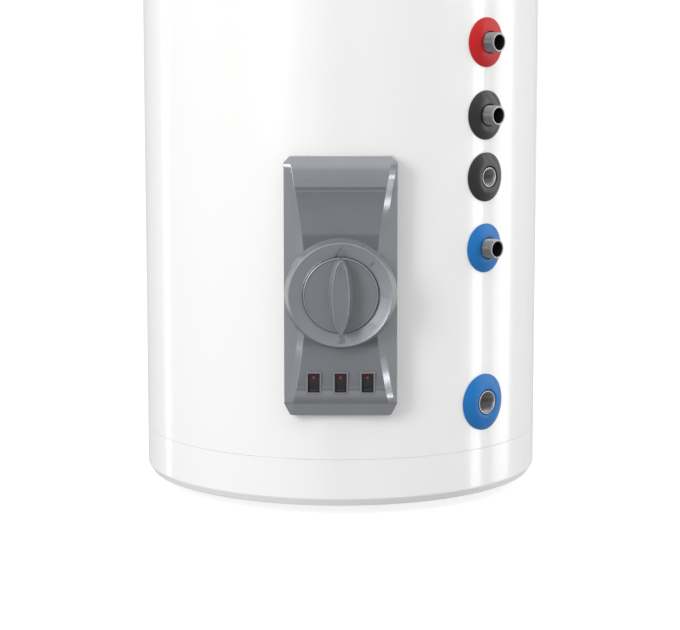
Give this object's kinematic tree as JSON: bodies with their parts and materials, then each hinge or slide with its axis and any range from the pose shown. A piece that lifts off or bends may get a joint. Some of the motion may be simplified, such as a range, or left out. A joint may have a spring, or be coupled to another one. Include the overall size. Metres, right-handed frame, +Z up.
{
  "type": "tank water heater",
  "caption": "Floor-standing electric tank water heater with a control cover, thermostat knob, rocker switches and a column of pipe ports.",
  "frame": {"origin": "under the middle of the bounding box, on the floor that the feet stand on", "axes": "+Z up along the tank; the control cover faces -Y; the ports stand to its right, between -Y and +X"},
  "size_m": [0.56, 0.644, 1.44],
  "materials": {
    "white_enamel": "gloss",
    "grey_plastic": "satin",
    "red_plastic": "gloss",
    "blue_plastic": "gloss",
    "black_plastic": "gloss",
    "red_lens": "clear gloss",
    "port_steel": "machined",
    "sheet_steel": "zinc plated",
    "glass_lining": "vitreous enamel",
    "foam": "open foam",
    "rubber": "matt",
    "copper": "drawn copper",
    "magnesium": "cast"
  },
  "bodies": {
    "heater": {"outer_casing": "white_enamel", "bottom_cap": "white_enamel", "top_cap": "white_enamel", "control_cover": "grey_plastic", "dial_ring": "grey_plastic", "switch_housing_1": "grey_plastic", "switch_housing_2": "grey_plastic", "switch_housing_3": "grey_plastic", "top_plug": "grey_plastic", "hot_rosette": "red_plastic", "cold_rosette": "blue_plastic", "drain_rosette": "blue_plastic", "recirculation_rosette": "black_plastic", "sensor_rosette": "black_plastic", "cable_gland": "black_plastic", "thermostat_body": "black_plastic", "terminal_block": "black_plastic", "thermal_cutout": "black_plastic", "hot_outlet_pipe": "port_steel", "recirculation_pipe": "port_steel", "cold_inlet_pipe": "port_steel", "sensor_socket": "port_steel", "drain_socket": "port_steel", "element_flange": "sheet_steel", "flange_bolt_1": "sheet_steel", "flange_bolt_2": "sheet_steel", "flange_bolt_3": "sheet_steel", "flange_bolt_4": "sheet_steel", "flange_bolt_5": "sheet_steel", "control_bracket": "sheet_steel", "lower_bracket": "sheet_steel", "cover_screw_left": "sheet_steel", "cover_screw_right": "sheet_steel", "tank_skirt": "sheet_steel", "anode_plug": "sheet_steel", "inner_tank": "glass_lining", "insulation_jacket": "foam", "top_insulation": "foam", "bottom_insulation": "foam", "foot_rear": "rubber", "foot_left": "rubber", "foot_right": "rubber", "flange_gasket": "rubber", "heating_element_1": "copper", "heating_element_2": "copper", "heating_element_3": "copper", "thermostat_pocket": "copper", "thermostat_rod": "copper", "hot_dip_tube": "copper", "cold_dip_tube": "copper", "anode_rod": "magnesium"},
    "thermostat_control": {"thermostat_knob": "grey_plastic", "thermostat_spindle": "sheet_steel"},
    "rocker_1": {"switch_rocker_1": "black_plastic", "indicator_lens_1": "red_lens"},
    "rocker_2": {"switch_rocker_2": "black_plastic", "indicator_lens_2": "red_lens"},
    "rocker_3": {"switch_rocker_3": "black_plastic", "indicator_lens_3": "red_lens"},
    "reset": {"reset_button": "red_plastic"}
  },
  "joints": [
    {"name": "knob_turn", "type": "hinge", "parent": "heater", "child": "thermostat_control", "pos_m": [0, -0.286, 0.305], "axis": [0, 1, 0], "range_deg": [0, 180]},
    {"name": "rocker_1_tip", "type": "hinge", "parent": "heater", "child": "rocker_1", "pos_m": [-0.0353, -0.2805, 0.1875], "axis": [1, 0, 0], "range_deg": [-14, 0]},
    {"name": "rocker_2_tip", "type": "hinge", "parent": "heater", "child": "rocker_2", "pos_m": [0, -0.2805, 0.1875], "axis": [1, 0, 0], "range_deg": [-14, 0]},
    {"name": "rocker_3_tip", "type": "hinge", "parent": "heater", "child": "rocker_3", "pos_m": [0.0353, -0.2805, 0.1875], "axis": [1, 0, 0], "range_deg": [-14, 0]},
    {"name": "reset_press", "type": "slide", "parent": "heater", "child": "reset", "axis": [0, 1, 0], "range_m": [0, 0.0015], "stiffness_N_per_m": 400, "springref_m": -0.001}
  ]
}
